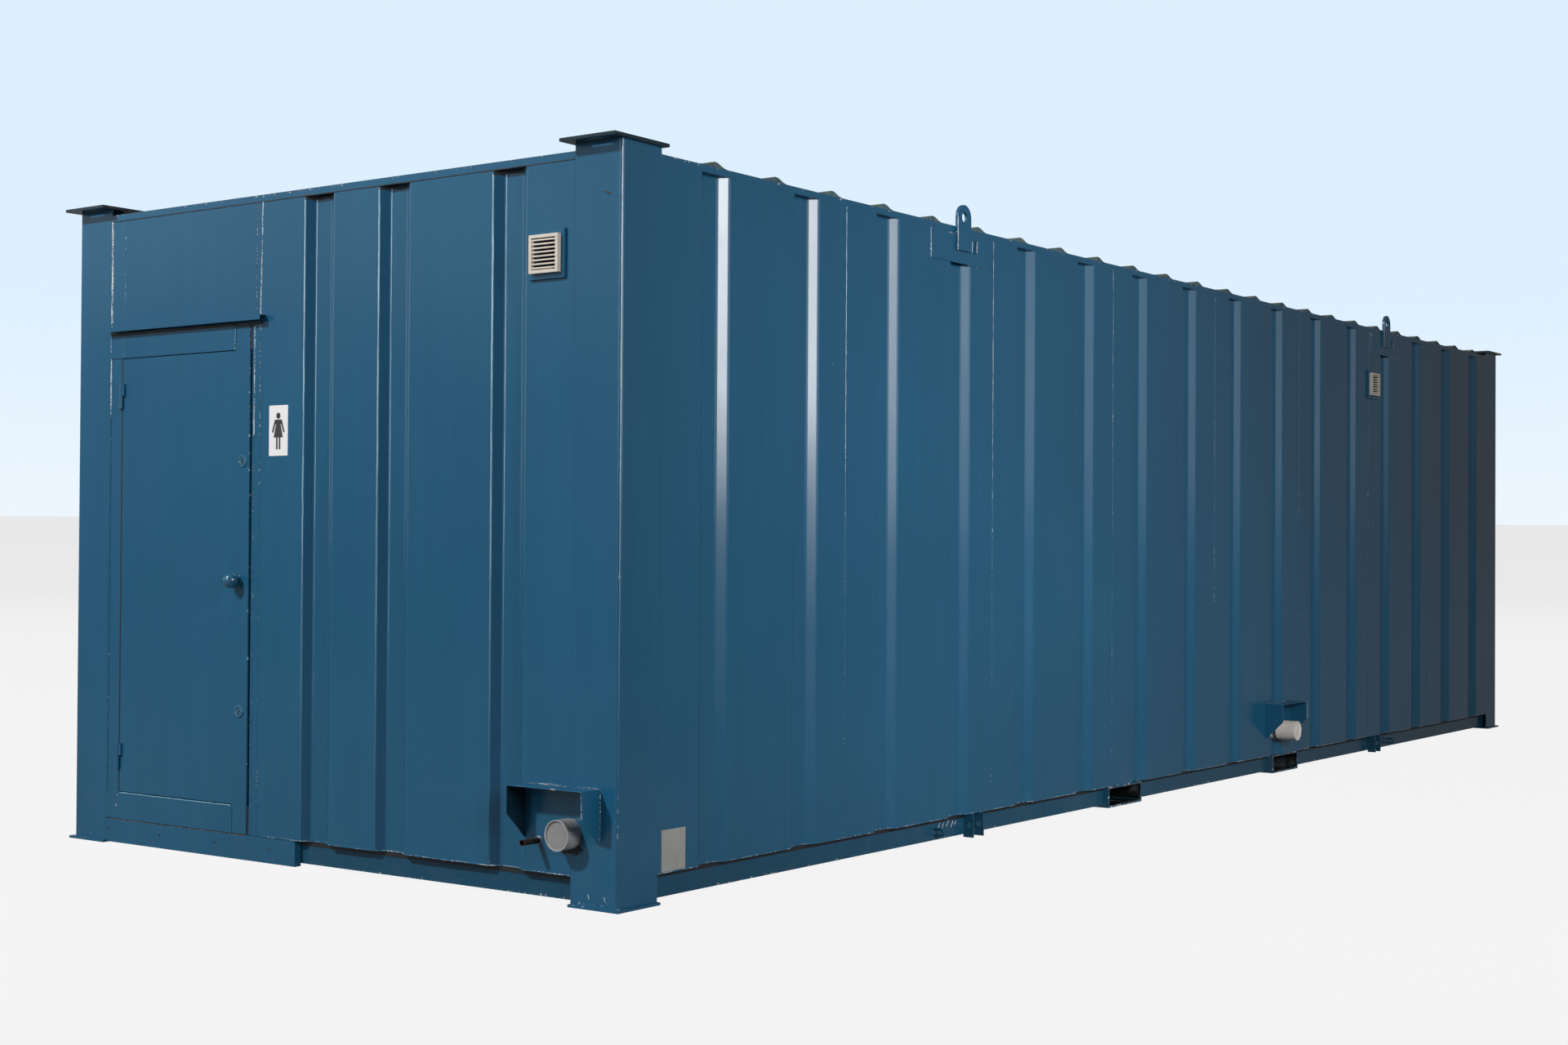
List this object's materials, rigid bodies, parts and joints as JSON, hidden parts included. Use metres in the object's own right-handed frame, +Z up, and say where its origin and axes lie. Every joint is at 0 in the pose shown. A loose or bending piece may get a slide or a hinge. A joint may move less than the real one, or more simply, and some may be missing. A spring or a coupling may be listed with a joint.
{
  "type": "portable toilet block",
  "caption": "Blue steel portable toilet block with two entrance doors, fork pockets, lifting lugs, pressed wall sheets, soil pipes, vents and fitted rooms inside",
  "frame": {"origin": "centre of the overall bounding box in plan, at ground level under the four feet", "axes": "+X along the block from the women's door end to the men's door end, +Y across it from the front wall with the side vent to the back wall, +Z up"},
  "size_m": [9.918, 3.1842, 2.755],
  "materials": {
    "paint": "semi-gloss blue paint over sheet steel",
    "dark_paint": "weathered dark blue paint on steel",
    "galvanised": "zinc-plated steel",
    "cream_plastic": "dusty cream moulded plastic",
    "grey_plastic": "grey drainage pipe plastic",
    "copper": "dark brown tarnished copper tube",
    "white_board": "white faced wall board",
    "vinyl": "grey sheet vinyl on board",
    "laminate": "light blue laminated board",
    "china": "white glazed sanitary china",
    "chrome": "polished chrome",
    "seat_plastic": "black moulded plastic"
  },
  "bodies": {
    "block": {"base_frame": "dark_paint", "ceiling_panel": "white_board", "cistern_men": "china", "cistern_women": "china", "corner_post_back_far": "paint", "corner_post_back_near": "paint", "corner_post_front_far": "paint", "corner_post_front_near": "paint", "cubicle_screen_men": "laminate", "cubicle_screen_women": "laminate", "door_frame_far": "paint", "door_frame_near": "paint", "end_cladding_far": "paint", "end_cladding_near": "paint", "floor_deck": "vinyl", "fork_pocket_far": "dark_paint", "fork_pocket_near": "dark_paint", "lifting_lug_back_far": "paint", "lifting_lug_back_near": "paint", "lifting_lug_front_far": "paint", "lifting_lug_front_near": "paint", "pipe_hood_end": "paint", "pipe_hood_side": "paint", "roof_frame": "paint", "roof_sheet": "dark_paint", "room_partition": "white_board", "side_cladding_back": "paint", "side_cladding_front": "paint", "soil_pipe_end": "grey_plastic", "soil_pipe_side": "grey_plastic", "threshold_far": "paint", "threshold_near": "paint", "toilet_pan_men": "china", "toilet_pan_women": "china", "vent_collar_end": "paint", "vent_collar_side": "paint", "vent_grille_end": "cream_plastic", "vent_grille_side": "cream_plastic", "wall_lining": "white_board", "wash_basin_men": "china", "wash_basin_women": "china", "water_pipe": "copper"},
    "leaf_near": {"door_leaf_near": "paint"},
    "knob_near": {"door_knob_near": "paint"},
    "latch_near": {"latch_bolt_near": "galvanised"},
    "bolt_upper_near": {"lock_bolt_upper_near": "galvanised"},
    "bolt_lower_near": {"lock_bolt_lower_near": "galvanised"},
    "leaf_far": {"door_leaf_far": "paint"},
    "knob_far": {"door_knob_far": "paint"},
    "latch_far": {"latch_bolt_far": "galvanised"},
    "bolt_upper_far": {"lock_bolt_upper_far": "galvanised"},
    "bolt_lower_far": {"lock_bolt_lower_far": "galvanised"},
    "cubicle_leaf_women": {"cubicle_door_women": "laminate"},
    "seat_women": {"toilet_seat_women": "seat_plastic"},
    "lever_women": {"flush_lever_women": "chrome"},
    "tap_women": {"tap_lever_women": "chrome"},
    "cubicle_leaf_men": {"cubicle_door_men": "laminate"},
    "seat_men": {"toilet_seat_men": "seat_plastic"},
    "lever_men": {"flush_lever_men": "chrome"},
    "tap_men": {"tap_lever_men": "chrome"}
  },
  "joints": [
    {"name": "entrance_door_near", "type": "hinge", "parent": "block", "child": "leaf_near", "pos_m": [-4.8675, 1.27135, 1.13], "axis": [0, 0, -1], "range_deg": [0, 110]},
    {"name": "knob_turn_near", "type": "hinge", "parent": "leaf_near", "child": "knob_near", "pos_m": [-4.896, 0.52285, 1.12], "axis": [1, 0, 0], "range_deg": [0, 60]},
    {"name": "latch_slide_near", "type": "slide", "parent": "leaf_near", "child": "latch_near", "axis": [0, -1, 0], "range_m": [0, 0.018]},
    {"name": "lock_upper_near", "type": "slide", "parent": "leaf_near", "child": "bolt_upper_near", "axis": [0, -1, 0], "range_m": [0, 0.02]},
    {"name": "lock_lower_near", "type": "slide", "parent": "leaf_near", "child": "bolt_lower_near", "axis": [0, -1, 0], "range_m": [0, 0.02]},
    {"name": "entrance_door_far", "type": "hinge", "parent": "block", "child": "leaf_far", "pos_m": [4.8995, 1.27135, 1.13], "axis": [0, 0, 1], "range_deg": [0, 110]},
    {"name": "knob_turn_far", "type": "hinge", "parent": "leaf_far", "child": "knob_far", "pos_m": [4.928, 0.52285, 1.12], "axis": [1, 0, 0], "range_deg": [0, 60]},
    {"name": "latch_slide_far", "type": "slide", "parent": "leaf_far", "child": "latch_far", "axis": [0, -1, 0], "range_m": [0, 0.018]},
    {"name": "lock_upper_far", "type": "slide", "parent": "leaf_far", "child": "bolt_upper_far", "axis": [0, -1, 0], "range_m": [0, 0.02]},
    {"name": "lock_lower_far", "type": "slide", "parent": "leaf_far", "child": "bolt_lower_far", "axis": [0, -1, 0], "range_m": [0, 0.02]},
    {"name": "cubicle_door_turn_women", "type": "hinge", "parent": "block", "child": "cubicle_leaf_women", "pos_m": [-4.515, 0.03185, 1], "axis": [0, 0, -1], "range_deg": [0, 90]},
    {"name": "seat_lift_women", "type": "hinge", "parent": "block", "child": "seat_women", "pos_m": [-4.219, -1.15615, 0.5939], "axis": [1, 0, 0], "range_deg": [0, 90]},
    {"name": "flush_turn_women", "type": "hinge", "parent": "block", "child": "lever_women", "pos_m": [-4.314, -1.21485, 1.05], "axis": [0, 1, 0], "range_deg": [0, 40], "stiffness_Nm_per_rad": 0.2},
    {"name": "tap_turn_women", "type": "hinge", "parent": "block", "child": "tap_women", "pos_m": [-1.759, -1.31955, 1.11], "axis": [0, 0, -1], "range_deg": [0, 90]},
    {"name": "cubicle_door_turn_men", "type": "hinge", "parent": "block", "child": "cubicle_leaf_men", "pos_m": [0.625, 0.03185, 1], "axis": [0, 0, -1], "range_deg": [0, 90]},
    {"name": "seat_lift_men", "type": "hinge", "parent": "block", "child": "seat_men", "pos_m": [0.921, -1.15615, 0.5939], "axis": [1, 0, 0], "range_deg": [0, 90]},
    {"name": "flush_turn_men", "type": "hinge", "parent": "block", "child": "lever_men", "pos_m": [0.826, -1.21485, 1.05], "axis": [0, 1, 0], "range_deg": [0, 40], "stiffness_Nm_per_rad": 0.2},
    {"name": "tap_turn_men", "type": "hinge", "parent": "block", "child": "tap_men", "pos_m": [-0.109, -1.31955, 1.11], "axis": [0, 0, -1], "range_deg": [0, 90]}
  ],
  "couplings": [
    {"joint": "latch_slide_near", "follows": "knob_turn_near", "m_per_rad": 0.017189},
    {"joint": "latch_slide_far", "follows": "knob_turn_far", "m_per_rad": 0.017189}
  ]
}
